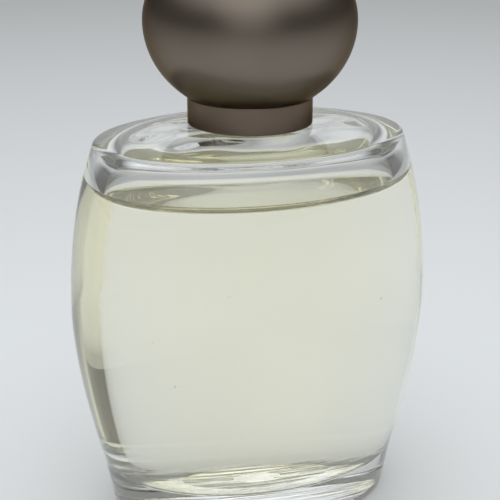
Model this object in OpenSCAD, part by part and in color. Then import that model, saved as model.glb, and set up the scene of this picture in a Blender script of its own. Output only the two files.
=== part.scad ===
// Oval glass aftershave bottle with a screw-on ball cap, closed and standing on its base.
// Millimetres, +Z up. The origin is the centre of the base, X runs along the bottle's width.

/* [Bottle outline] */
// Width of the bottle at its widest height
body_w = 71.6; // [66:0.2:78]
// Height of the widest place
widest_z = 40.9; // [36:0.1:46]
// Depth of the oval divided by its width
depth_ratio = 0.70; // [0.64:0.01:0.8]
// Width where the side wall ends and the rim's rounding starts
rim_w = 61.6; // [58:0.2:65]
// Height where the side wall ends
rim_z = 74.2; // [68:0.1:82]
// Radius of the rounding round the rim
rim_round = 1.6; // [0.8:0.1:2.4]
// How far the flat seat under the cap lies above the end of the side wall
deck_rise = 3.1; // [2.4:0.1:4.5]
// How the wall curves above the widest place (2 is a parabola)
upper_curve = 2.34; // [1.8:0.01:3]
// How the wall curves below the widest place (2 is a parabola)
lower_curve = 1.56; // [1.3:0.01:2.4]
// How the top slopes from the seat to the rim (1 is a straight slope)
deck_curve = 1.4; // [1:0.1:2]

/* [Bottle foot] */
// Width of the oval base on the ground
base_w = 56.4; // [50:0.2:60]
// Width at the top of the foot band
foot_w = 60.4; // [57:0.2:64]
// Height of the foot band
foot_h = 10; // [6:0.1:13]
// Radius of the edge that the bottle stands on
heel_round = 1.2; // [0.6:0.1:2]
// Width of the shallow hollow under the base
punt_w = 42; // [34:1:48]
// Depth of the shallow hollow under the base
punt_depth = 0.6; // [0.3:0.1:3]

/* [Glass] */
// Thickness of the side wall
wall = 4.8; // [3.4:0.1:5.6]
// Thickness of the glass under the liquid
base_t = 6.6; // [5:0.1:14]
// Thickness of the glass under the cap's seat
shoulder_t = 2.5; // [2:0.1:5]
// How far the hollow's ceiling falls from the neck to the side wall
ceiling_fall = 1.5; // [0.5:0.1:2.4]
// How square the corners of the hollow are (a higher number is squarer)
cavity_squareness = 14; // [8:1:18]

/* [Neck] */
// Diameter of the neck between its threads
neck_d = 17.4; // [16.8:0.1:18]
// Diameter of the bore through the neck
neck_bore_d = 12.6; // [11:0.1:13.4]
// Height of the neck above the seat
neck_h = 9.7; // [9:0.1:12]
// Chamfer round the lip of the neck
lip_chamfer = 0.5; // [0.2:0.1:0.8]
// How far the thread stands out of the neck
thread_depth = 1.1; // [0.8:0.05:1.2]
// Rise of the thread in one turn
thread_pitch = 3.175; // [3:0.005:3.6]
// Number of turns of thread on the neck
thread_turns = 1.4; // [1:0.1:1.6]
// Height of the thread's start above the seat
thread_start = 2.4; // [2:0.1:3]
// Width of the thread where it meets the neck
thread_root_w = 1.4; // [1.1:0.05:1.5]
// Width of the thread along its crest
thread_crest_w = 0.8; // [0.5:0.05:1]

/* [Contents] */
// How far the liquid's surface lies below the end of the side wall
fill_drop = 10.2; // [6:0.1:20]
// Gap between the liquid and the glass
liquid_film = 0.05; // [0.02:0.01:0.2]

/* [Pour plug] */
// Length of the plug inside the neck
plug_l = 7.5; // [5:0.1:8.5]
// Wall of the plug
plug_wall = 1.0; // [0.7:0.05:1.3]
// Gap between the plug and the bore, between the plug's ribs
plug_gap = 0.04; // [0.02:0.01:0.08]
// How far the sealing ribs are pressed into the bore
plug_press = 0.06; // [0.03:0.01:0.12]
// Number of sealing ribs
plug_ribs = 3; // [2:1:4]
// Width of one sealing rib
plug_rib_w = 0.6; // [0.4:0.1:0.9]
// Diameter of the flange on the neck's lip
plug_flange_d = 15.8; // [14.6:0.1:16.2]
// Thickness of the flange and of the web that holds the pouring hole
plug_flange_t = 0.8; // [0.6:0.05:1.2]
// Diameter of the pouring hole
pour_hole_d = 6.2; // [5:0.1:7]

/* [Cap] */
// Diameter of the ball at its widest height
ball_d = 40.5; // [36:0.1:44]
// Height of the ball's lower half, down to where the full curve would end
ball_lower_h = 17.8; // [16:0.1:20]
// Height of the ball's upper half
ball_upper_h = 16.2; // [14:0.1:20]
// Thickness of the ball's metal
shell_t = 0.8; // [0.5:0.05:1.2]
// Outer diameter of the collar
collar_d = 24; // [23.8:0.1:25]
// Height of the collar that shows
collar_h = 5.2; // [4.4:0.1:7]
// Thickness of the collar's metal
collar_t = 1.0; // [0.8:0.05:1.1]
// Height of the collar's spigot inside the ball
spigot_h = 2.6; // [1.8:0.1:3.6]
// Thickness of the spigot
spigot_t = 0.5; // [0.35:0.05:0.6]
// Gap between the collar and the glass when the cap is closed
seat_gap = 0.2; // [0.1:0.05:0.5]
// Gap between the cap's pieces that are bonded together
bond_gap = 0.05; // [0.02:0.01:0.08]
// How far the liner's skirt stops above the collar's lower edge
skirt_set_back = 0.5; // [0.3:0.1:1]
// Thickness of the liner's closed top
liner_top_t = 1.3; // [0.9:0.1:2]
// Gap between the neck's thread and the liner's bore
thread_clearance = 0.25; // [0.15:0.05:0.35]
// How far the liner's thread stays off the neck
root_clearance = 0.25; // [0.15:0.05:0.35]
// Number of turns of thread in the liner
liner_turns = 1.2; // [1:0.1:1.4]
// Thickness of the sealing disc
disc_t = 1.2; // [0.8:0.1:1.6]
// Gap round the sealing disc
disc_gap = 0.3; // [0.2:0.05:0.4]
// Gap above and below the sealing disc
disc_slack = 0.05; // [0.03:0.01:0.1]

/* [Hidden] */

$fn = 96;
WALL_STEPS = 10;        // straight steps along each half of the side wall
ARC_STEPS = 4;          // steps along a small rounding
DECK_STEPS = 5;         // steps down the top's slope
CORNER_STEPS = 8;       // steps round each corner of the hollow
STRAIGHT_SHARE = 0.9;   // how much of the hollow's height lies between its corners
CEILING_FLAT = 0.25;    // how much of the hollow's width lies under the level part of its ceiling
CEILING_CURVE = 1.2;    // how the ceiling falls outside its level part (1 is a straight slope)
CEILING_STEPS = 4;      // steps along the ceiling, from its corner to its level part
BALL_STEP = 3;          // degrees between two points of the ball's outline
THREAD_STEPS = 40;      // steps in one turn of a thread
THREAD_FADE = 6;        // steps over which a thread's end runs out
THREAD_ROOT = 0.25;     // how deep a thread is rooted in its wall
THREAD_SINK = 0.12;     // how deep a thread's crest starts and ends under the wall's surface
CUT = 1;                // how far a cutting solid runs past a face

// Bottle
seat_z = rim_z + deck_rise;
seat_half_w = (collar_d / 2 + 0.1) / depth_ratio;
wall_lean = atan((body_w - rim_w) / 2 * upper_curve / (rim_z - widest_z));
deck_slope = atan(deck_curve * (deck_rise - rim_round / 2) / (rim_w / 2 - seat_half_w));
rim_centre = [rim_w / 2 - rim_round * cos(wall_lean), rim_z - rim_round * sin(wall_lean)];
rim_top = rim_centre + rim_round * [sin(deck_slope), cos(deck_slope)];
cavity_ratio = (body_w * depth_ratio / 2 - wall) / (body_w / 2 - wall);
cavity_top = seat_z - shoulder_t;
cavity_half_h = (cavity_top - ceiling_fall - base_t) / 2;
cavity_mid = base_t + cavity_half_h;
fill_z = rim_z - fill_drop;

// Neck
neck_bore_r = neck_bore_d / 2;
lip_z = seat_z + neck_h;
thread_z = seat_z + thread_start;

// Cap, from the outside in and from the seat up
collar_r = collar_d / 2;
collar_z = seat_z + seat_gap;
crease_z = collar_z + collar_h;
collar_bore_r = collar_r - collar_t;
spigot_r = collar_bore_r + spigot_t;
mouth_r = spigot_r + bond_gap;
liner_r = collar_bore_r - bond_gap;
liner_bore_r = neck_d / 2 + thread_depth + thread_clearance;
liner_z = collar_z + skirt_set_back;
disc_z = lip_z + plug_flange_t + disc_slack;
disc_r = liner_bore_r - disc_gap;
liner_ceiling_z = disc_z + disc_t + disc_slack;
liner_thread_z = thread_z - thread_pitch / 2;
liner_thread_depth = liner_bore_r - neck_d / 2 - root_clearance;
ball_r = ball_d / 2;
ball_z = crease_z + ball_lower_h * sqrt(1 - pow(collar_r / ball_r, 2));

// Half the bottle's width at height z, from the base to the end of the side wall
function half_w(z) =
    z > widest_z
        ? body_w / 2 - (body_w - rim_w) / 2 * pow((z - widest_z) / (rim_z - widest_z), upper_curve)
    : z > foot_h
        ? body_w / 2 - (body_w - foot_w) / 2 * pow((widest_z - z) / (widest_z - foot_h), lower_curve)
    : base_w / 2 + (foot_w - base_w) / 2 * z / foot_h;

// Points of an arc about a centre, from angle a0 to a1
function arc(centre, r, a0, a1, steps) =
    [for (i = [0 : steps]) centre + r * [cos(a0 + (a1 - a0) * i / steps), sin(a0 + (a1 - a0) * i / steps)]];

// Outline of the outside, in the plane of the width
function body_outline() = concat(
    [[0, 0]],
    arc([half_w(heel_round) - heel_round, heel_round], heel_round, -90, 0, ARC_STEPS),
    [for (i = [0 : WALL_STEPS]) let (z = foot_h + (widest_z - foot_h) * i / WALL_STEPS) [half_w(z), z]],
    [for (i = [1 : WALL_STEPS - 1])
        let (z = widest_z + (rim_z - widest_z) * i / WALL_STEPS) [half_w(z), z]],
    arc(rim_centre, rim_round, wall_lean, 90 - deck_slope, ARC_STEPS),
    [for (i = [DECK_STEPS - 1 : -1 : 0])
        let (f = i / DECK_STEPS)
        [seat_half_w + (rim_top[0] - seat_half_w) * f,
         seat_z - (seat_z - rim_top[1]) * pow(f, deck_curve)]],
    [[0, seat_z]]);

// Heights in the hollow as shares of half its height, from its floor's corner to its ceiling's
function cavity_shares() =
    let (first = asin(pow(STRAIGHT_SHARE, cavity_squareness / 2)),
         corner = [for (i = [0 : CORNER_STEPS])
                      pow(sin(first + (90 - first) * i / (CORNER_STEPS + 0.5)), 2 / cavity_squareness)])
    concat([for (i = [CORNER_STEPS : -1 : 0]) -corner[i]],
           [for (i = [1 : 2 * WALL_STEPS - 1]) STRAIGHT_SHARE * (i / WALL_STEPS - 1)],
           corner);

// The hollow's width, as a share of the width between its walls, at a share of half its height
function cavity_narrowing(share) = pow(1 - pow(abs(share), cavity_squareness), 1 / cavity_squareness);

// How far the ceiling lies above its lowest place, at a share of the hollow's width
function ceiling_lift(width_share) =
    ceiling_fall * (1 - pow(max(0, width_share - CEILING_FLAT) / (1 - CEILING_FLAT), CEILING_CURVE));

// A point of the hollow's outline at a share of half its height, kept inset from the glass
function cavity_point(share, inset) =
    let (narrowing = cavity_narrowing(share),
         z = cavity_mid + (cavity_half_h - inset) * share + (share > 0 ? ceiling_lift(narrowing) : 0))
    [(half_w(z) - wall - inset) * narrowing, z];

// Outline of the whole hollow, with a flat floor
function cavity_outline() =
    let (side = [for (share = cavity_shares()) cavity_point(share, 0)],
         corner_share = cavity_narrowing(cavity_shares()[len(side) - 1]))
    concat([[0, side[0][1]]], side,
           [for (i = [1 : CEILING_STEPS])
               let (width_share = corner_share + (CEILING_FLAT - corner_share) * i / CEILING_STEPS,
                    z = cavity_top - ceiling_fall + ceiling_lift(width_share))
               [(half_w(z) - wall) * width_share, z]],
           [[0, cavity_top]]);

// Outline of the liquid, up to its level surface
function liquid_outline() =
    let (side = [for (share = cavity_shares()) cavity_point(share, liquid_film)],
         wet = [for (point = side) if (point[1] < fill_z - liquid_film) point],
         surface_half_w = cavity_point((fill_z - cavity_mid) / cavity_half_h, liquid_film)[0])
    concat([[0, wet[0][1]]], wet, [[surface_half_w, fill_z], [0, fill_z]]);

// A band that winds up a wall: facing is 1 outwards and -1 inwards
module thread(wall_r, facing, depth, start_z, turns) {
    steps = round(turns * THREAD_STEPS);
    rings = [for (i = [0 : steps])
        let (angle = 360 * i / THREAD_STEPS,
             z = start_z + thread_pitch * i / THREAD_STEPS,
             fade = min(1, i / THREAD_FADE, (steps - i) / THREAD_FADE),
             stand = (depth + THREAD_SINK) * fade - THREAD_SINK,
             root_r = wall_r - facing * THREAD_ROOT,
             crest_r = wall_r + facing * stand)
        [for (p = [[root_r, -thread_root_w / 2], [crest_r, -thread_crest_w / 2],
                   [crest_r, thread_crest_w / 2], [root_r, thread_root_w / 2]])
            [p[0] * cos(angle), p[0] * sin(angle), z + p[1]]]];
    sides = [for (i = [0 : steps - 1], j = [0 : 3])
        let (a = 4 * i + j, b = 4 * i + (j + 1) % 4)
        each [[a, b, b + 4], [a, b + 4, a + 4]]];
    ends = [[3, 2, 1], [3, 1, 0], [4 * steps, 4 * steps + 1, 4 * steps + 2],
            [4 * steps, 4 * steps + 2, 4 * steps + 3]];
    faces = concat(sides, ends);
    polyhedron([for (ring = rings) each ring],
               facing > 0 ? faces : [for (f = faces) [f[2], f[1], f[0]]]);
}

// An oval solid: an outline turned round in quarters, each drawn in along Y
module oval(ratio) {
    for (quarter = [0 : 90 : 270])
        scale([1, ratio, 1]) rotate([0, 0, quarter]) rotate_extrude(angle = 90) children();
}

module neck() {
    r = neck_d / 2;
    rotate_extrude() polygon([[0, seat_z - CUT], [r, seat_z - CUT], [r, lip_z - lip_chamfer],
                              [r - lip_chamfer, lip_z], [0, lip_z]]);
    thread(r, 1, thread_depth, thread_z, thread_turns);
}

module punt() {
    oval(depth_ratio) polygon(concat(
        [[0, -CUT], [punt_w / 2, -CUT]],
        [for (i = [ARC_STEPS : -1 : 0])
            let (f = i / ARC_STEPS) [punt_w / 2 * f, punt_depth * (1 - f * f)]]));
}

module glass_bottle() {
    color([0.86, 0.9, 0.88, 0.4]) difference() {
        union() {
            oval(depth_ratio) polygon(body_outline());
            neck();
        }
        oval(cavity_ratio) polygon(cavity_outline());
        translate([0, 0, cavity_top - CUT]) cylinder(r = neck_bore_r, h = lip_z - cavity_top + 2 * CUT);
        punt();
    }
}

module aftershave_liquid() {
    color([0.86, 0.86, 0.66, 0.6]) oval(cavity_ratio) polygon(liquid_outline());
}

module pour_plug() {
    body_r = neck_bore_r - plug_gap;
    rib_step = plug_l / (plug_ribs + 1);
    color([0.94, 0.94, 0.92]) difference() {
        union() {
            translate([0, 0, lip_z]) cylinder(d = plug_flange_d, h = plug_flange_t);
            translate([0, 0, lip_z - plug_l]) cylinder(r = body_r, h = plug_l);
            for (i = [1 : plug_ribs])
                translate([0, 0, lip_z - i * rib_step - plug_rib_w / 2])
                    cylinder(r = neck_bore_r + plug_press, h = plug_rib_w);
        }
        translate([0, 0, lip_z - plug_l - CUT])
            cylinder(r = body_r - plug_wall, h = plug_l + CUT);
        translate([0, 0, lip_z - CUT]) cylinder(d = pour_hole_d, h = plug_flange_t + 2 * CUT);
    }
}

// Points of one skin of the ball, from height z0 over its mouth to the top
function ball_skin(inset, t0) =
    [for (t = [t0 : (90 - t0) / round((90 - t0) / BALL_STEP) : 90.001])
        [(ball_r - inset) * cos(min(t, 90)),
         ball_z + ((t < 0 ? ball_lower_h : ball_upper_h) - inset) * sin(min(t, 90))]];

module cap_ball_shell() {
    outer = ball_skin(0, -acos(collar_r / ball_r));
    inner = ball_skin(shell_t, -acos(mouth_r / (ball_r - shell_t)));
    color([0.46, 0.43, 0.4]) rotate_extrude()
        polygon(concat([[mouth_r, crease_z]], outer, [for (i = [len(inner) - 1 : -1 : 0]) inner[i]]));
}

module cap_collar() {
    color([0.44, 0.4, 0.37]) difference() {
        union() {
            translate([0, 0, collar_z]) cylinder(r = collar_r, h = collar_h);
            translate([0, 0, crease_z - CUT]) cylinder(r = spigot_r, h = spigot_h + CUT);
        }
        translate([0, 0, collar_z - CUT])
            cylinder(r = collar_bore_r, h = collar_h + spigot_h + 2 * CUT);
    }
}

module cap_liner() {
    color([0.9, 0.9, 0.88]) {
        difference() {
            translate([0, 0, liner_z])
                cylinder(r = liner_r, h = liner_ceiling_z + liner_top_t - liner_z);
            translate([0, 0, liner_z - CUT])
                cylinder(r = liner_bore_r, h = liner_ceiling_z - liner_z + CUT);
        }
        thread(liner_bore_r, -1, liner_thread_depth, liner_thread_z, liner_turns);
    }
}

module sealing_disc() {
    color([0.82, 0.84, 0.86]) translate([0, 0, disc_z]) cylinder(r = disc_r, h = disc_t);
}

glass_bottle();
aftershave_liquid();
pour_plug();
cap_ball_shell();
cap_collar();
cap_liner();
sealing_disc();
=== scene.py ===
"""Oval glass aftershave bottle with a screw-on pewter ball cap: its pieces, finishes, camera and studio."""
import math

import bpy
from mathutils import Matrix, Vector


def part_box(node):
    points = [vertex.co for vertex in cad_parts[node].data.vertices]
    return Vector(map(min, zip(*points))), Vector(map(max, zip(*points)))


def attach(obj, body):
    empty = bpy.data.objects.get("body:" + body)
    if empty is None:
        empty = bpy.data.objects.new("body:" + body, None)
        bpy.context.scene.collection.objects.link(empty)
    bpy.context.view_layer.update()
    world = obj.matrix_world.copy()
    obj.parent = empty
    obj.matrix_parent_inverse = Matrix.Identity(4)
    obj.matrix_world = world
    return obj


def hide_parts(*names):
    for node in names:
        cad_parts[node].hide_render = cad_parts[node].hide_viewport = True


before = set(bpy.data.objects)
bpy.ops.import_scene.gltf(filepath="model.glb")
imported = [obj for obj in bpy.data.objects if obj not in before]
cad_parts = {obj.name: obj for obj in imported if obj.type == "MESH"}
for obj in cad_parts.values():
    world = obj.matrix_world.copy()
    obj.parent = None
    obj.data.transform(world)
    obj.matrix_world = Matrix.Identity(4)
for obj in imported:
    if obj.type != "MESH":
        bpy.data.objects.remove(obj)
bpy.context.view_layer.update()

MM = 0.001

# ================================================================ sizes, in metres
_, glass_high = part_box("glass_bottle")
_, liquid_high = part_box("aftershave_liquid")
ball_low, ball_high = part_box("cap_ball_shell")
collar_low, collar_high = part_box("cap_collar")

# Bottle: an oval whose depth is a fixed share of its width
HALF_WIDTH = glass_high.x
HALF_DEPTH = glass_high.y
OVAL = HALF_DEPTH / HALF_WIDTH
WIDEST_Z = 40.9 * MM
RIM_HALF_W = 30.8 * MM
RIM_Z = 74.2 * MM
RIM_ROUND = 1.6 * MM
DECK_RISE = 3.1 * MM
SEAT_Z = RIM_Z + DECK_RISE
UPPER_CURVE = 2.34
LOWER_CURVE = 1.56
DECK_CURVE = 1.4
FOOT_Z = 10 * MM
FOOT_HALF_W = 30.2 * MM
BASE_HALF_W = 28.2 * MM
HEEL_ROUND = 1.2 * MM
FOOT_CREASE = 0.25 * MM
PUNT_HALF_W = 21 * MM
PUNT_DEPTH = 0.6 * MM
# How far the flat seat runs past the collar
SEAT_MARGIN = 0.1 * MM
# Rings of the sloping top, as shares of the way from the seat out to the rim
DECK_SHARES = (0.985, 0.95, 0.88, 0.8, 0.7, 0.6, 0.5, 0.4, 0.3, 0.2, 0.12, 0.05, 0)

# Hollow
LIQUID_FILM = 0.05 * MM
FLOOR_Z = 6.6 * MM
WALL = HALF_WIDTH - liquid_high.x - LIQUID_FILM
SHOULDER_GLASS = 2.5 * MM
CEILING_Z = SEAT_Z - SHOULDER_GLASS
# The ceiling is level in its middle and falls by the crown to its corner
CROWN = 1.5 * MM
CROWN_CURVE = 1.2
CROWN_FLAT_SHARE = 0.25
CORNER_Z = CEILING_Z - CROWN
HOLLOW_OVAL = (HALF_DEPTH - WALL) / (HALF_WIDTH - WALL)
HOLLOW_MIDDLE_Z = (FLOOR_Z + CORNER_Z) / 2
HOLLOW_HALF_H = (CORNER_Z - FLOOR_Z) / 2
# Seen from the side it is a square with its corners rounded; this share of its height is nearly straight
SQUARENESS = 14
STRAIGHT_SHARE = 0.9
BEND_START = math.radians(84)
# Rings of its ends, as shares of its width
CEILING_SHARES = (0.3, 0.7)
FLOOR_SHARES = (0.8, 0.55, 0.3, 0.1)
# Waves of its ceiling: direction in degrees, length, phase
CEILING_WAVES = ((15, 15 * MM, 0.4), (100, 9 * MM, 1.9), (155, 11 * MM, 4))
WAVE_HEIGHT = 0.08 * MM
# They fade out before this share of its width, measured this far under its corner, and beside the bore
WAVE_END = 0.97
WAVE_END_FADE = 0.2
WAVE_BORE_FADE = 3 * MM
CORNER_DEPTH = 2 * MM

# Neck
LIP_Z = glass_high.z
NECK_R = 8.7 * MM
NECK_FILLET = 0.5 * MM
LIP_ROUND = 0.5 * MM
BORE_R = 6.3 * MM
BORE_FLARE = 1 * MM
MOUTH_ROUND = 0.3 * MM
# Rings of the flat seat round the neck
SEAT_RINGS = (11.5 * MM, 10 * MM)
THREAD_DEPTH = 1.1 * MM
THREAD_PITCH = 3.175 * MM
THREAD_TURNS = 1.4
THREAD_START = 2.4 * MM
THREAD_START_Z = SEAT_Z + THREAD_START
THREAD_HALF_ROOT = 0.85 * MM
THREAD_HALF_CREST = 0.3 * MM
THREAD_FADE_TURNS = 0.15

# Liquid: it climbs the glass a little, up to its line of contact
FILL_Z = liquid_high.z
CAPILLARY = 1.7 * MM
MENISCUS_RISE = 2.3 * MM
CONTACT_Z = FILL_Z + MENISCUS_RISE
WALL_OVERLAP = 0.02 * MM
SKIN = 0.01 * MM
# Rings of its raised edge, as shares of the rise, and of its level middle, as shares of the width
MENISCUS_SHARES = (0.93, 0.85, 0.76, 0.67, 0.58, 0.49, 0.4, 0.32, 0.25, 0.18, 0.12, 0.07, 0.03)
SURFACE_SHARES = (0.85, 0.65, 0.45, 0.25, 0.1)
# Small air bubbles on the front wall: place to the right of the middle, height and radius, in millimetres
BUBBLES = ((28.5, 58.5, 0.26), (19.5, 45, 0.2), (-10.5, 50, 0.12), (-19.5, 32, 0.16), (-18.5, 42, 0.1),
           (-23, 40.5, 0.12), (3, 37, 0.1), (9.5, 55.5, 0.09))
BUBBLE_SHAPE = (1, 0.9, 1.15)
# From the wall to a bubble's middle, in radii
BUBBLE_STAND_OFF = 1.3

# Cap
BALL_R = ball_high.x
BALL_LOWER_H = 17.8 * MM
CREASE_Z = ball_low.z
COLLAR_R = collar_high.x
COLLAR_Z = collar_low.z
COLLAR_WALL = 1 * MM
SPIGOT_TOP_Z = collar_high.z
SPIGOT_STEP = 0.5 * MM
SPIGOT_R = COLLAR_R - SPIGOT_STEP
SPIGOT_GAP = 0.05 * MM
SHELL_WALL = 0.8 * MM
BALL_Z = CREASE_Z + BALL_LOWER_H * math.sqrt(1 - (COLLAR_R / BALL_R) ** 2)
BALL_UPPER_H = ball_high.z - BALL_Z
EDGE = 0.15 * MM
CRISP_DEGREES = 40

# Drawing: points round a piece, and the radius of the small ring that is drawn into a pole
SEGMENTS = 160
POLE_R = 0.3 * MM
# How far a ring lies beside an edge, to keep the shading crisp there
EDGE_RING = 0.1 * MM
NEAR_RING = 0.2 * MM
HEEL_RING = 0.3 * MM
GROUND_RING = 0.4 * MM
PUNT_RING = 0.6 * MM
GROUND_HALF_W = 24 * MM
# Vertices closer than the first, or rings closer than the second, are in the same place
SAME_PLACE = 0.001 * MM
SAME_RING = 0.01 * MM
# The hollow's own faces lie within this skin round it, and those of its floor under this height
HOLLOW_SKIN = 0.5 * MM
FLOOR_BAND = 0.3 * MM
# Faces of the base point down at least this much
STEEPLY_DOWN = -0.9

# Light: how strongly each clear stuff bends it, and how often it may pass or be mirrored
GLASS_IOR = 1.52
LIQUID_IOR = 1.36
PLASTIC_IOR = 1.5
GLASS_BOUNCES = 32
MIRROR_BOUNCES = 24

# View: a long lens that looks down on the front, from a little to the left
VIEW_AZIMUTH = math.radians(-18.663)
VIEW_ELEVATION = math.radians(18.67)
VIEW_DISTANCE = 295.385 * MM
VIEW_TARGET = Vector((0, 0, 51.377 * MM))
LENS_MM = 107.753
SENSOR_MM = 36
NEAREST = 10 * MM

# Table: its width, and the painted pool of light on it: its lit tone near the middle, its painted shade far
# off, and the two distances from the middle between which one fades into the other
TABLE_WIDTH = 12
TABLE_PAINTED_LIGHT = (0.86, 0.868, 0.88)
TABLE_PAINTED_SHADE = (0.45, 0.45, 0.453)
TABLE_PAINTED_LIGHT_FADE = (0.1, 0.62)

# Surroundings: tones by the sine of the height, both ends first, and where the sideways tones take over
AHEAD_TONES = ((0, (0.46, 0.46, 0.46)), (1, (1.2, 1.22, 1.23)),
               (0.3, (0.67, 0.69, 0.69)), (0.6, (0.95, 1, 1.02)))
SIDEWAYS_TONES = ((0, (0.15, 0.147, 0.145)), (1, (1.2, 1.22, 1.23)),
                  (0.35, (0.15, 0.147, 0.145)), (0.7, (0.88, 0.93, 0.95)))
SIDEWAYS_SHARE = ((0.2, (0, 0, 0)), (0.6, (1, 1, 1)))


# ================================================================ outlines
# A ring is (half width, half depth, height).
def spread(start, end, count):
    """Evenly spaced values from start to end, both included."""
    return [start + (end - start) * i / (count - 1) for i in range(count)]


def arc(centre_r, centre_z, radius, start, end, count):
    """(distance from the axis, height) along an arc whose angles are degrees from the horizontal."""
    return [(centre_r + radius * math.cos(math.radians(a)), centre_z + radius * math.sin(math.radians(a)))
            for a in spread(start, end, count)]


def oval(points, ratio):
    """Rings through the points, with this share of their width as depth."""
    return [(r, r * ratio, z) for r, z in points]


def half_width(z):
    """Half the bottle's width at height z, from the ground to the end of the side wall."""
    if z > WIDEST_Z:
        above = (z - WIDEST_Z) / (RIM_Z - WIDEST_Z)
        return HALF_WIDTH - (HALF_WIDTH - RIM_HALF_W) * above ** UPPER_CURVE
    if z > FOOT_Z:
        below = (WIDEST_Z - z) / (WIDEST_Z - FOOT_Z)
        return HALF_WIDTH - (HALF_WIDTH - FOOT_HALF_W) * below ** LOWER_CURVE
    return BASE_HALF_W + (FOOT_HALF_W - BASE_HALF_W) * z / FOOT_Z


def outside_rings():
    """The outside of the glass, from the middle of the base to the seat under the cap."""
    punt = [(POLE_R, PUNT_DEPTH)]
    punt += [(PUNT_HALF_W * f, PUNT_DEPTH * (1 - f * f)) for f in spread(0.1, 1, count=10)]
    ground_end = BASE_HALF_W - HEEL_ROUND - GROUND_RING
    ground = [(r, 0) for r in (PUNT_HALF_W + PUNT_RING, GROUND_HALF_W, ground_end)]
    heel = arc(half_width(HEEL_ROUND) - HEEL_ROUND, HEEL_ROUND, HEEL_ROUND, -90, 0, count=9)
    foot = [(half_width(z), z) for z in spread(HEEL_ROUND + HEEL_RING, FOOT_Z - FOOT_CREASE, count=8)]
    wall = [(half_width(z), z) for z in spread(FOOT_Z + FOOT_CREASE, RIM_Z - EDGE_RING, count=56)]
    lean = math.degrees(math.atan((HALF_WIDTH - RIM_HALF_W) * UPPER_CURVE / (RIM_Z - WIDEST_Z)))
    seat_half_w = (COLLAR_R + SEAT_MARGIN) / OVAL
    deck_drop = SEAT_Z - RIM_Z - RIM_ROUND / 2
    slope = math.degrees(math.atan(DECK_CURVE * deck_drop / (RIM_HALF_W - seat_half_w)))
    rim_r = RIM_HALF_W - RIM_ROUND * math.cos(math.radians(lean))
    rim_z = RIM_Z - RIM_ROUND * math.sin(math.radians(lean))
    rim = arc(rim_r, rim_z, RIM_ROUND, lean, 90 - slope, count=10)
    top_r, top_z = rim[-1]
    deck = [(seat_half_w + (top_r - seat_half_w) * f, SEAT_Z - (SEAT_Z - top_z) * f ** DECK_CURVE)
            for f in DECK_SHARES]
    return oval(punt + ground + heel + foot + wall + rim + deck, OVAL)


def neck_rings():
    """The flat seat, the neck's outside, its lip and its bore, down to the hollow's ceiling."""
    seat = [(r, SEAT_Z) for r in SEAT_RINGS]
    fillet_top = SEAT_Z + NECK_FILLET
    fillet = arc(NECK_R + NECK_FILLET, fillet_top, NECK_FILLET, 270, 180, count=5)
    wall_top = LIP_Z - LIP_ROUND
    wall = [(NECK_R, z) for z in spread(fillet_top + NEAR_RING, wall_top - EDGE_RING, count=76)]
    lip = arc(NECK_R - LIP_ROUND, wall_top, LIP_ROUND, 0, 90, count=5)
    mouth = arc(BORE_R + MOUTH_ROUND, LIP_Z - MOUTH_ROUND, MOUTH_ROUND, 90, 180, count=4)
    flare_top = CEILING_Z + BORE_FLARE
    bore = [(BORE_R, z) for z in spread(LIP_Z - 2 * MOUTH_ROUND, flare_top + NEAR_RING, count=10)]
    bell = arc(BORE_R + BORE_FLARE, flare_top, BORE_FLARE, 180, 270, count=7)
    return oval(seat + fillet + wall + lip + mouth + bore + bell, 1)


def hollow_shares():
    """Heights in the hollow as shares of half its height, from its ceiling down to its floor."""
    flat = [(1 - width ** SQUARENESS) ** (1 / SQUARENESS) for width in spread(*CEILING_SHARES, count=12)]
    bend_end = math.asin(STRAIGHT_SHARE ** (SQUARENESS / 2))
    bend = [math.sin(a) ** (2 / SQUARENESS) for a in spread(BEND_START, bend_end, count=16)]
    top = flat + bend
    straight = spread(STRAIGHT_SHARE, -STRAIGHT_SHARE, count=44)[1:-1]
    return top + straight + [-share for share in reversed(top)]


def hollow_at(share, outwards=0):
    """The ring of the hollow, with its crowned ceiling, at a share of half its height."""
    narrowing = (1 - abs(share) ** SQUARENESS) ** (1 / SQUARENESS)
    z = HOLLOW_MIDDLE_Z + HOLLOW_HALF_H * share
    if share > 0:
        out = max(0, (narrowing - CROWN_FLAT_SHARE) / (1 - CROWN_FLAT_SHARE))
        z += CROWN * (1 - out ** CROWN_CURVE)
    half_w = (half_width(z) - WALL) * narrowing
    return half_w + outwards, half_w * HOLLOW_OVAL + outwards, z


def hollow_ring(z, outwards=0):
    """The hollow's ring at a height, found by halving."""
    halvings = 40
    low, high = -1, 1
    for _ in range(halvings):
        share = (low + high) / 2
        if hollow_at(share)[2] < z:
            low = share
        else:
            high = share
    half_w, half_d, _ = hollow_at(share, outwards)
    return half_w, half_d, z


def hollow_rings(top_z, outwards=0):
    """The hollow's wall and floor, from the first ring at or under a height to the middle of the floor."""
    heights = [hollow_at(share)[2] for share in hollow_shares()]
    heights = [z for z in heights if z < top_z and abs(z - CONTACT_Z) > NEAR_RING]
    if top_z >= CONTACT_Z:
        heights = sorted(heights + [CONTACT_Z], reverse=True)
    rings = [hollow_ring(z, outwards) for z in heights]
    last_w, last_d, _ = rings[-1]
    rings += [(last_w * f, last_d * f, FLOOR_Z - outwards) for f in FLOOR_SHARES]
    return rings + [(POLE_R, POLE_R, FLOOR_Z - outwards)]


def meniscus_distance(rise):
    """How far from the wall the liquid still stands this high over its level."""
    def reach(z):
        return math.acosh(2 * CAPILLARY / z) - math.sqrt(4 - (z / CAPILLARY) ** 2)
    return CAPILLARY * (reach(rise) - reach(MENISCUS_RISE))


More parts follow.
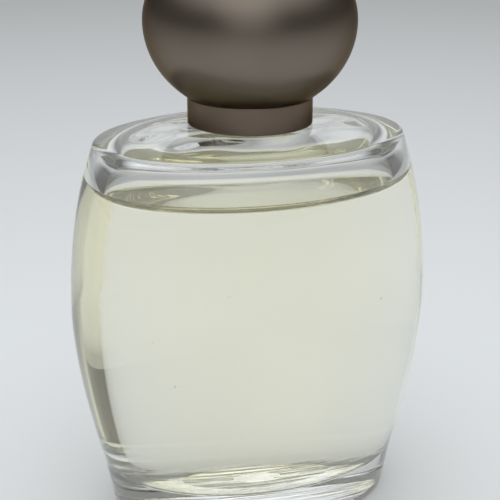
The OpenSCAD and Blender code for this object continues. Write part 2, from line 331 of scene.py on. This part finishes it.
def surface_rings(lowered):
    """The liquid's surface from the wall to its middle, lowered a little."""
    wall_w, wall_d, _ = hollow_ring(CONTACT_Z)
    rings = [(wall_w + WALL_OVERLAP, wall_d + WALL_OVERLAP, CONTACT_Z - lowered)]
    for share in MENISCUS_SHARES:
        away = meniscus_distance(MENISCUS_RISE * share)
        rings.append((wall_w - away, wall_d - away, FILL_Z + MENISCUS_RISE * share - lowered))
    flat_w, flat_d, _ = rings[-1]
    rings += [(flat_w * f, flat_d * f, FILL_Z - lowered) for f in SURFACE_SHARES]
    return rings + [(POLE_R, POLE_R, FILL_Z - lowered)]


def ball_skin(inset, mouth_r, count):
    """One skin of the ball, from its mouth to its top."""
    r = BALL_R - inset
    start = -math.degrees(math.acos(mouth_r / r))
    skin = []
    for angle in spread(start, 90, count):
        height = BALL_LOWER_H if angle < 0 else BALL_UPPER_H
        a = math.radians(angle)
        skin.append((max(r * math.cos(a), POLE_R), BALL_Z + (height - inset) * math.sin(a)))
    return skin


def ball_rings():
    """The ball's outside from its top to the crease, round its mouth and back up its inside."""
    outer = ball_skin(0, COLLAR_R, count=70)
    mouth_r = SPIGOT_R + SPIGOT_GAP
    inner = ball_skin(SHELL_WALL, mouth_r, count=40)
    return oval(outer[::-1] + [(mouth_r, CREASE_Z)] + inner, 1)


def collar_rings():
    """The collar's outside, its spigot, its bore and its lower edge, as one closed loop."""
    bore_r = COLLAR_R - COLLAR_WALL
    foot = arc(COLLAR_R - EDGE, COLLAR_Z + EDGE, EDGE, -90, 0, count=4)
    shoulder = arc(COLLAR_R - EDGE, CREASE_Z - EDGE, EDGE, 0, 90, count=4)
    wall = [(COLLAR_R, z) for z in spread(COLLAR_Z + 2 * EDGE, CREASE_Z - 2 * EDGE, count=8)]
    spigot = [(SPIGOT_R, CREASE_Z), (SPIGOT_R, SPIGOT_TOP_Z - EDGE), (SPIGOT_R - EDGE, SPIGOT_TOP_Z)]
    bore = [(bore_r, z) for z in spread(SPIGOT_TOP_Z - EDGE, COLLAR_Z + EDGE, count=6)]
    bore = [(bore_r, SPIGOT_TOP_Z)] + bore + [(bore_r + EDGE, COLLAR_Z)]
    return oval(foot + wall + shoulder + spigot + bore, 1)


# ================================================================ modelling
def start_clean():
    """Deselects everything, so that an operator works on the new piece alone."""
    if bpy.context.object and bpy.context.object.mode != "OBJECT":
        bpy.ops.object.mode_set(mode="OBJECT")
    bpy.ops.object.select_all(action="DESELECT")


def draw_up(rings):
    """In edit mode: a ring is extruded from the last one again and again, moved and resized each time."""
    half_w, half_d, z = rings[0]
    bpy.ops.transform.resize(value=(half_w, half_d, 1))
    bpy.ops.transform.translate(value=(0, 0, z))
    for new_w, new_d, new_z in rings[1:]:
        bpy.ops.mesh.extrude_edges_move(TRANSFORM_OT_translate={"value": (0, 0, new_z - z)})
        bpy.ops.transform.resize(value=(new_w / half_w, new_d / half_d, 1), center_override=(0, 0, new_z))
        half_w, half_d, z = new_w, new_d, new_z


def select_where(piece, wanted):
    """Leaves edit mode and selects the vertices whose place the test accepts."""
    bpy.ops.mesh.select_mode(type="VERT")
    bpy.ops.mesh.select_all(action="DESELECT")
    bpy.ops.object.mode_set(mode="OBJECT")
    for vertex in piece.data.vertices:
        vertex.select = wanted(vertex.co)
    bpy.ops.object.mode_set(mode="EDIT")


def close_pole(piece, pole_z):
    """In edit mode: draws the small ring round the axis at this height into one point."""
    near = 1.2 * POLE_R

    def at_pole(place):
        return math.hypot(place.x, place.y) < near and abs(place.z - pole_z) < SAME_PLACE
    select_where(piece, at_pole)
    bpy.ops.mesh.merge(type="CENTER")


def turned(name, rings, closed_loop=False):
    """A piece drawn up ring by ring. Its ends meet each other, or each closes in a pole on the axis."""
    start_clean()
    bpy.ops.mesh.primitive_circle_add(vertices=SEGMENTS, radius=1, fill_type="NOTHING")
    piece = bpy.context.active_object
    piece.name = piece.data.name = name
    bpy.ops.object.mode_set(mode="EDIT")
    draw_up(rings)
    if closed_loop:
        bpy.ops.mesh.select_all(action="DESELECT")
        bpy.ops.mesh.select_non_manifold()
        bpy.ops.mesh.bridge_edge_loops()
    else:
        for _, _, pole_z in (rings[0], rings[-1]):
            close_pole(piece, pole_z)
    bpy.ops.mesh.select_all(action="SELECT")
    bpy.ops.mesh.normals_make_consistent(inside=False)
    bpy.ops.object.mode_set(mode="OBJECT")
    bpy.ops.object.shade_smooth()
    return piece


def join(main, other):
    """Adds the other mesh to the main one."""
    start_clean()
    other.select_set(True)
    main.select_set(True)
    bpy.context.view_layer.objects.active = main
    bpy.ops.object.join()


def soften(piece, degrees):
    """Keeps edges sharper than this angle crisp."""
    start_clean()
    piece.select_set(True)
    bpy.context.view_layer.objects.active = piece
    bpy.ops.object.shade_smooth_by_angle(angle=math.radians(degrees))


def thread_height(angle, z):
    """How far the neck's thread stands out at this angle and height."""
    stand = 0
    for turn in range(math.ceil(THREAD_TURNS)):
        wound = angle / math.tau + turn
        if wound <= THREAD_TURNS:
            away = abs(z - THREAD_START_Z - THREAD_PITCH * wound)
            flank = (THREAD_HALF_ROOT - away) / (THREAD_HALF_ROOT - THREAD_HALF_CREST)
            flank = min(1, max(0, flank))
            fade = min(1, wound / THREAD_FADE_TURNS, (THREAD_TURNS - wound) / THREAD_FADE_TURNS)
            stand = max(stand, THREAD_DEPTH * fade * flank * flank * (3 - 2 * flank))
    return stand


def raise_thread(piece):
    """Pushes the neck's wall out along its helix."""
    for vertex in piece.data.vertices:
        radius = math.hypot(vertex.co.x, vertex.co.y)
        if vertex.co.z > SEAT_Z and abs(radius - NECK_R) < SAME_PLACE:
            stand = thread_height(math.atan2(vertex.co.y, vertex.co.x) % math.tau, vertex.co.z)
            vertex.co.x *= 1 + stand / radius
            vertex.co.y *= 1 + stand / radius


def wave_ceiling(piece):
    """Gives the hollow's ceiling the slow unevenness of pressed glass."""
    corner_w, corner_d, _ = hollow_ring(CORNER_Z - CORNER_DEPTH)
    for vertex in piece.data.vertices:
        x, y, z = vertex.co
        out = math.hypot(x / corner_w, y / corner_d)
        from_bore = max(0, math.hypot(x, y) - BORE_R - BORE_FLARE)
        if CORNER_Z - EDGE_RING < z < CEILING_Z + SAME_RING and out < WAVE_END:
            fade = min(1, (WAVE_END - out) / WAVE_END_FADE) * min(1, from_bore / WAVE_BORE_FADE)
            for degrees, length, phase in CEILING_WAVES:
                angle = math.radians(degrees)
                along = x * math.cos(angle) + y * math.sin(angle)
                vertex.co.z += fade * WAVE_HEIGHT * math.sin(math.tau * along / length + phase)


# ================================================================ materials
def ramp_of(nodes, stops):
    """A colour ramp through (position, colour) stops, its first and last stop given first."""
    ramp = nodes.new("ShaderNodeValToRGB")
    steps = ramp.color_ramp.elements
    for index, (position, colour) in enumerate(stops):
        step = steps[index] if index < 2 else steps.new(position)
        step.position = position
        step.color = (*colour, 1)
    return ramp


class Finish:
    """A material on the Principled shader, with short ways to drive it from patterns on the piece."""

    def __init__(self, name, **settings):
        self.material = bpy.data.materials.new(name)
        self.material.use_nodes = True
        self.nodes = self.material.node_tree.nodes
        self.links = self.material.node_tree.links
        self.shader = self.nodes["Principled BSDF"]
        self.place = self.nodes.new("ShaderNodeTexCoord").outputs["Object"]
        for socket, value in settings.items():
            self.shader.inputs[socket.replace("_", " ")].default_value = value

    def noise(self, per_metre, detail=2, stretch=(1, 1, 1)):
        """A soft random pattern with this many blotches to a metre."""
        mapping = self.nodes.new("ShaderNodeMapping")
        mapping.inputs["Scale"].default_value = stretch
        self.links.new(self.place, mapping.inputs["Vector"])
        texture = self.nodes.new("ShaderNodeTexNoise")
        texture.inputs["Scale"].default_value = per_metre
        texture.inputs["Detail"].default_value = detail
        self.links.new(mapping.outputs["Vector"], texture.inputs["Vector"])
        return texture.outputs["Fac"]

    def colour(self, pattern, dark, light, low=0.35, high=0.65):
        """Base colour between two tones along a pattern."""
        ramp = ramp_of(self.nodes, ((low, dark), (high, light)))
        self.links.new(pattern, ramp.inputs["Fac"])
        self.links.new(ramp.outputs["Color"], self.shader.inputs["Base Color"])

    def roughness(self, pattern, smooth, rough):
        """Roughness between two values along a pattern."""
        scale = self.nodes.new("ShaderNodeMapRange")
        for socket, value in (("From Min", 0.3), ("From Max", 0.7), ("To Min", smooth), ("To Max", rough)):
            scale.inputs[socket].default_value = value
        self.links.new(pattern, scale.inputs["Value"])
        self.links.new(scale.outputs["Result"], self.shader.inputs["Roughness"])

    def bump(self, pattern, height, strength=1):
        """Small relief of this height, in metres."""
        bump = self.nodes.new("ShaderNodeBump")
        bump.inputs["Strength"].default_value = strength
        bump.inputs["Distance"].default_value = height
        self.links.new(pattern, bump.inputs["Height"])
        self.links.new(bump.outputs["Normal"], self.shader.inputs["Normal"])


def glass_finish(name, ior, streaked=False):
    """Clear glass with faint unevenness, or with the long streaks of its pressed base."""
    finish = Finish(name, Transmission_Weight=1, IOR=ior)
    finish.colour(finish.noise(per_metre=40), dark=(0.985, 0.992, 0.985), light=(0.998, 1, 0.998))
    finish.roughness(finish.noise(per_metre=120, detail=3), smooth=0, rough=0.003)
    if streaked:
        finish.bump(finish.noise(per_metre=500, stretch=(0.1, 1, 1)), height=0.6 * MM)
    else:
        finish.bump(finish.noise(per_metre=90, detail=1, stretch=(1, 1, 0.5)), height=0.01 * MM)
    return finish.material


def liquid_body_finish():
    """Pale yellow-green liquid, whose colour deepens with its depth."""
    finish = Finish("liquid_body", Transmission_Weight=1, IOR=1, Roughness=0)
    finish.colour(finish.noise(per_metre=60), dark=(0.996, 0.998, 0.994), light=(1, 1, 1))
    absorption = finish.nodes.new("ShaderNodeVolumeAbsorption")
    absorption.inputs["Color"].default_value = (0.999, 0.9912, 0.943, 1)
    absorption.inputs["Density"].default_value = 88
    finish.links.new(absorption.outputs["Volume"], finish.nodes["Material Output"].inputs["Volume"])
    return finish.material


def liquid_skin_finish(name, ior, tint=(1, 1, 1)):
    """The still boundary between liquid and air."""
    finish = Finish(name, Transmission_Weight=1, IOR=ior, Roughness=0)
    finish.colour(finish.noise(per_metre=60), dark=[0.99 * part for part in tint], light=tint)
    return finish.material


def pewter_finish(name, dark, light, smooth, rough):
    """Satin pewter lacquer, duller where it is seen edge on."""
    finish = Finish(name, Metallic=1, Specular_Tint=(0.45, 0.4, 0.35, 1))
    finish.colour(finish.noise(per_metre=70, detail=1), dark, light)
    finish.roughness(finish.noise(per_metre=2200), smooth, rough)
    finish.bump(finish.noise(per_metre=9000), height=0.003 * MM, strength=0.5)
    return finish.material


def plastic_finish(name, dark, light):
    """Moulded plastic of the plug and the liner."""
    finish = Finish(name, IOR=PLASTIC_IOR)
    finish.colour(finish.noise(per_metre=180, detail=3), dark, light)
    finish.roughness(finish.noise(per_metre=700, detail=3), smooth=0.32, rough=0.45)
    finish.bump(finish.noise(per_metre=2500), height=0.01 * MM, strength=0.4)
    return finish.material


def foam_finish():
    """Pale grey foam of the sealing disc."""
    finish = Finish("disc_foam", Sheen_Weight=0.1)
    finish.colour(finish.noise(per_metre=1400, detail=4), dark=(0.55, 0.58, 0.6), light=(0.72, 0.75, 0.78))
    finish.roughness(finish.noise(per_metre=1400, detail=3), smooth=0.75, rough=0.9)
    finish.bump(finish.noise(per_metre=3500, detail=3), height=0.03 * MM)
    return finish.material


# ================================================================ pieces
def make_bottle():
    """The glass: light bends less where the liquid wets it, and its base and floor are streaked."""
    piece = turned("bottle_glass", outside_rings() + neck_rings() + hollow_rings(CEILING_Z))
    raise_thread(piece)
    wave_ceiling(piece)
    dry, wetted, base, floor = range(4)
    wetted_ior = GLASS_IOR / LIQUID_IOR
    piece.data.materials.append(glass_finish("flint_glass", GLASS_IOR))
    piece.data.materials.append(glass_finish("flint_glass_wetted", wetted_ior))
    piece.data.materials.append(glass_finish("flint_glass_base", GLASS_IOR, streaked=True))
    piece.data.materials.append(glass_finish("flint_glass_floor", wetted_ior, streaked=True))
    for face in piece.data.polygons:
        z = face.center.z
        half_w, half_d, _ = hollow_ring(min(max(z, FLOOR_Z), CONTACT_Z), HOLLOW_SKIN)
        within = (face.center.x / half_w) ** 2 + (face.center.y / half_d) ** 2 < 1
        if within and FLOOR_Z - SAME_RING < z < CONTACT_Z:
            face.material_index = floor if z < FLOOR_Z + FLOOR_BAND else wetted
        elif z < PUNT_DEPTH + SAME_RING and face.normal.z < STEEPLY_DOWN:
            face.material_index = base
        else:
            face.material_index = dry
    return piece


def blow_bubble(x, z, radius):
    """One air bubble, a little taller than wide, that clings to the hollow's front wall."""
    half_w, half_d, _ = hollow_ring(z)
    y = -half_d * math.sqrt(1 - (x / half_w) ** 2) + BUBBLE_STAND_OFF * radius
    start_clean()
    bpy.ops.mesh.primitive_ico_sphere_add(subdivisions=3, radius=radius, location=(x, y, z))
    bubble = bpy.context.active_object
    bpy.ops.object.mode_set(mode="EDIT")
    bpy.ops.transform.resize(value=BUBBLE_SHAPE)
    bpy.ops.object.mode_set(mode="OBJECT")
    bpy.ops.object.shade_smooth()
    bubble.data.materials.append(bpy.data.materials["air_bubble"])
    return bubble


def make_liquid():
    """The liquid's body carries its colour; a thin skin on top of it bends light at its surface."""
    wetted = hollow_rings(CONTACT_Z, WALL_OVERLAP)[1:]
    body = turned("liquid", wetted[::-1] + surface_rings(2 * SKIN))
    skin = turned("liquid_skin", surface_rings(0)[::-1] + surface_rings(SKIN))
    body.data.materials.append(liquid_body_finish())
    upper, lower = range(2)
    skin.data.materials.append(liquid_skin_finish("liquid_surface", LIQUID_IOR, tint=(0.94, 0.92, 0.74)))
    skin.data.materials.append(liquid_skin_finish("liquid_skin_back", 1))
    for face in skin.data.polygons:
        face.material_index = upper if face.normal.z > 0 else lower
    join(body, skin)
    liquid_skin_finish("air_bubble", 1 / LIQUID_IOR)
    for x, z, radius in BUBBLES:
        join(body, blow_bubble(x * MM, z * MM, radius * MM))
    return body


def make_ball():
    """The hollow metal ball of the cap."""
    piece = turned("ball_shell", ball_rings())
    soften(piece, CRISP_DEGREES)
    pewter = pewter_finish("ball_pewter", dark=(0.203, 0.169, 0.138), light=(0.22, 0.183, 0.15),
                           smooth=0.31, rough=0.34)
    piece.data.materials.append(pewter)
    return piece


def make_collar():
    """The plain metal band under the ball, with the spigot that holds it there."""
    piece = turned("collar", collar_rings(), closed_loop=True)
    soften(piece, CRISP_DEGREES)
    pewter = pewter_finish("collar_pewter", dark=(0.196, 0.148, 0.114), light=(0.212, 0.162, 0.124),
                           smooth=0.29, rough=0.32)
    piece.data.materials.append(pewter)
    return piece


for piece, body, node, slot in (
        (make_bottle(), "bottle", "glass_bottle", "flint_glass"),
        (make_liquid(), "bottle", "aftershave_liquid", "aftershave"),
        (make_ball(), "cap", "cap_ball_shell", "ball_metal"),
        (make_collar(), "cap", "cap_collar", "collar_metal")):
    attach(piece, body)
    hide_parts(node)

for node, material in (
        ("pour_plug", plastic_finish("plug_plastic", dark=(0.78, 0.78, 0.76), light=(0.86, 0.86, 0.84))),
        ("cap_liner", plastic_finish("liner_plastic", dark=(0.7, 0.7, 0.68), light=(0.8, 0.8, 0.78))),
        ("sealing_disc", foam_finish())):
    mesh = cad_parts[node].data
    mesh.materials.clear()
    mesh.materials.append(material)


# ================================================================ studio
def make_floor():
    """A wide pale floor with a painted pool of light round the bottle: its colour is a little darker away
    from the bottle, as painted shade.
    """
    start_clean()
    bpy.ops.mesh.primitive_plane_add(size=TABLE_WIDTH)
    floor = bpy.context.active_object
    floor.name = floor.data.name = "floor"
    finish = Finish("table_painted_pool_light", Roughness=0.6)
    distance = finish.nodes.new("ShaderNodeVectorMath")
    distance.operation = "LENGTH"
    finish.links.new(finish.place, distance.inputs[0])
    # Painted pool of light: the colour fades from the lit tone near the bottle to painted shade far from it
    finish.colour(distance.outputs["Value"], TABLE_PAINTED_LIGHT, TABLE_PAINTED_SHADE, *TABLE_PAINTED_LIGHT_FADE)
    floor.data.materials.append(finish.material)


def light_world():
    """A pale ceiling over a dimmer horizon, which is darker still to the left and right of the view."""
    world = bpy.data.worlds.new("studio")
    world.use_nodes = True
    nodes, links = world.node_tree.nodes, world.node_tree.links
    direction = nodes.new("ShaderNodeTexCoord").outputs["Generated"]
    split = nodes.new("ShaderNodeSeparateXYZ")
    links.new(direction, split.inputs["Vector"])
    aside = nodes.new("ShaderNodeVectorMath")
    aside.operation = "DOT_PRODUCT"
    aside.inputs[1].default_value = (math.cos(VIEW_AZIMUTH), math.sin(VIEW_AZIMUTH), 0)
    links.new(direction, aside.inputs[0])
    either_side = nodes.new("ShaderNodeMath")
    either_side.operation = "ABSOLUTE"
    links.new(aside.outputs["Value"], either_side.inputs[0])
    ahead = ramp_of(nodes, AHEAD_TONES)
    sideways = ramp_of(nodes, SIDEWAYS_TONES)
    share = ramp_of(nodes, SIDEWAYS_SHARE)
    links.new(split.outputs["Z"], ahead.inputs["Fac"])
    links.new(split.outputs["Z"], sideways.inputs["Fac"])
    links.new(either_side.outputs["Value"], share.inputs["Fac"])
    mix = nodes.new("ShaderNodeMix")
    mix.data_type = "RGBA"
    links.new(share.outputs["Color"], mix.inputs["Factor"])
    links.new(ahead.outputs["Color"], mix.inputs["A"])
    links.new(sideways.outputs["Color"], mix.inputs["B"])
    links.new(mix.outputs["Result"], nodes["Background"].inputs["Color"])
    nodes["Background"].inputs["Strength"].default_value = 1
    bpy.context.scene.world = world


def hang_lamp(name, place, target, size, power):
    """A square soft lamp that faces a point."""
    data = bpy.data.lights.new(name, "AREA")
    data.size = size
    data.energy = power
    lamp = bpy.data.objects.new(name, data)
    bpy.context.scene.collection.objects.link(lamp)
    lamp.location = place
    lamp.rotation_euler = (Vector(target) - Vector(place)).to_track_quat("-Z", "Y").to_euler()


def place_camera():
    level = math.cos(VIEW_ELEVATION)
    aside = math.sin(VIEW_AZIMUTH) * level
    ahead = math.cos(VIEW_AZIMUTH) * level
    back = Vector((aside, -ahead, math.sin(VIEW_ELEVATION)))
    data = bpy.data.cameras.new("camera")
    data.lens = LENS_MM
    data.sensor_width = SENSOR_MM
    data.clip_start = NEAREST
    camera = bpy.data.objects.new("camera", data)
    bpy.context.scene.collection.objects.link(camera)
    camera.location = VIEW_TARGET + back * VIEW_DISTANCE
    camera.rotation_euler = (-back).to_track_quat("-Z", "Y").to_euler()
    bpy.context.scene.camera = camera


make_floor()
light_world()
hang_lamp("window", place=(-0.33, -0.65, 1.1), target=(0, 0, 0.05), size=1.2, power=0.9)
place_camera()

scene = bpy.context.scene
scene.view_settings.view_transform = "Standard"
scene.cycles.max_bounces = GLASS_BOUNCES
scene.cycles.transmission_bounces = GLASS_BOUNCES
scene.cycles.glossy_bounces = MIRROR_BOUNCES
